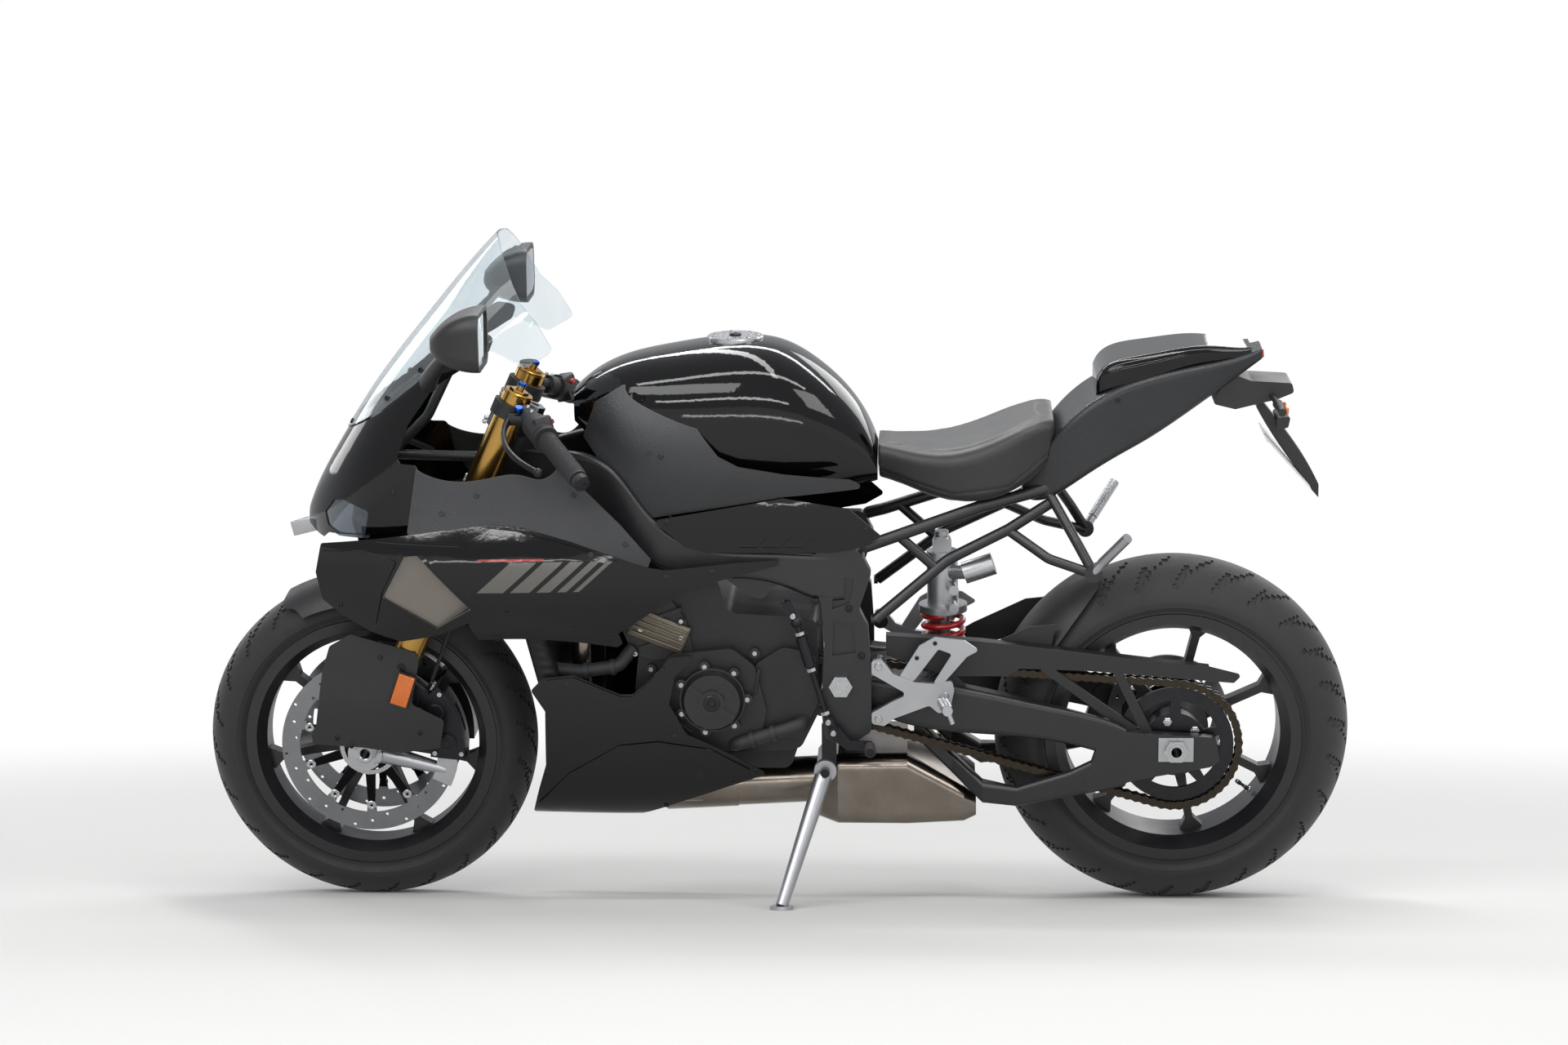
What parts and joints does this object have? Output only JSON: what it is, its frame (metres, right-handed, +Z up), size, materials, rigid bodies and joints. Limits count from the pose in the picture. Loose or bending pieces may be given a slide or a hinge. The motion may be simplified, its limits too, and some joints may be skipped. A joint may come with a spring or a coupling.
{
  "type": "sport motorcycle",
  "caption": "Faired sport motorcycle leaning on its side stand, with turning wheels, steering fork and folding stand",
  "frame": {"origin": "middle of the bounding box on the ground, with the bike leaning on its side stand", "axes": "+X to the rear along the wheelbase, +Y to the rider's right, +Z up from the ground"},
  "size_m": [2.0773, 0.8384, 1.2147],
  "materials": {
    "bar_black": "black rubber grips and coated bars",
    "black_cast": "satin black coated cast aluminium",
    "black_plastic": "matt black moulded plastic",
    "black_steel": "black coated steel tube",
    "bright_metal": "turned aluminium",
    "bright_steel": "bright turned steel",
    "chain_steel": "oiled dark chain steel",
    "clear_screen": "clear moulded screen",
    "dark_metal": "black anodised aluminium",
    "dark_steel": "dark steel",
    "disc_steel": "ground brake disc steel",
    "engine_cover": "black coated cast cover",
    "engine_metal": "dark grey cast metal",
    "exhaust_steel": "heat tinted stainless steel",
    "gloss_black": "deep gloss black lacquer",
    "gold_anodised": "gold anodised aluminium tube",
    "lamp_glass": "dark clear lamp glass",
    "plate_white": "blank pale plate",
    "radiator_black": "black radiator core",
    "red_spring": "red coated spring steel",
    "satin_black": "satin black painted panel",
    "satin_grey": "satin dark grey textured panel",
    "seat_leather": "black grained seat cover",
    "silver_metal": "silver coated cast aluminium",
    "stand_steel": "silver coated forged steel",
    "tyre_rubber": "matt black moulded rubber"
  },
  "bodies": {
    "root": {"rear_axle": "bright_steel", "front_sprocket": "dark_steel", "chain": "chain_steel", "main_frame": "black_cast", "swingarm_pivot": "bright_steel", "swingarm": "black_cast", "passenger_footrests": "silver_metal", "chain_guard": "black_plastic", "rear_hugger": "black_plastic", "axle_plates": "silver_metal", "stand_bracket": "dark_steel", "footrests": "silver_metal", "foot_levers": "dark_metal", "engine_block": "engine_metal", "engine_covers": "engine_cover", "coolant_hoses": "bar_black", "exhaust": "exhaust_steel", "radiator": "radiator_black", "shock_absorber": "silver_metal", "shock_spring": "red_spring", "fuel_tank": "gloss_black", "fuel_cap": "bright_metal", "tank_covers": "satin_grey", "rider_seat": "seat_leather", "pillion_seat": "gloss_black", "tail_fairing": "satin_grey", "subframe": "black_steel", "plate_bracket": "black_plastic", "licence_plate": "plate_white", "headlamps": "lamp_glass", "windscreen": "clear_screen", "instrument_panel": "black_plastic", "mirrors": "black_plastic", "front_cowl": "gloss_black", "side_fairings": "gloss_black", "cockpit_panels": "satin_grey", "frame_covers": "gloss_black", "belly_pans": "satin_black"},
    "steering": {"fork_sliders": "dark_metal", "fork_tubes": "gold_anodised", "upper_clamp": "dark_metal", "lower_clamp": "dark_metal", "steering_stem": "bright_steel", "handlebar_left": "bar_black", "handlebar_right": "bar_black", "levers": "dark_metal", "front_fender": "black_plastic", "front_axle": "bright_steel", "front_calipers": "dark_metal", "fork_covers": "black_plastic", "fork_feet": "silver_metal", "brake_hoses": "bar_black"},
    "front_wheel": {"front_rim": "black_cast", "front_tyre": "tyre_rubber", "front_discs": "disc_steel"},
    "rear_wheel": {"rear_rim": "black_cast", "rear_tyre": "tyre_rubber", "rear_disc": "disc_steel", "rear_sprocket": "dark_steel"},
    "side_stand": {"side_stand": "stand_steel"}
  },
  "joints": [
    {"name": "steering_turn", "type": "hinge", "parent": "root", "child": "steering", "pos_m": [-0.70989, 0.18337, 0.28145], "axis": [0.4067, -0.2055, 0.8901], "range_deg": [-25, 25]},
    {"name": "front_wheel_spin", "type": "hinge", "parent": "steering", "child": "front_wheel", "pos_m": [-0.7387, 0.18048, 0.29395], "axis": [0, 0.9744, 0.225], "continuous": true},
    {"name": "rear_wheel_spin", "type": "hinge", "parent": "root", "child": "rear_wheel", "pos_m": [0.7183, 0.17566, 0.31485], "axis": [0, 0.9744, 0.225], "continuous": true},
    {"name": "side_stand_fold", "type": "hinge", "parent": "root", "child": "side_stand", "pos_m": [0.0938, 0.03875, 0.24103], "axis": [0, -0.9744, -0.225], "range_deg": [0, 95]}
  ]
}
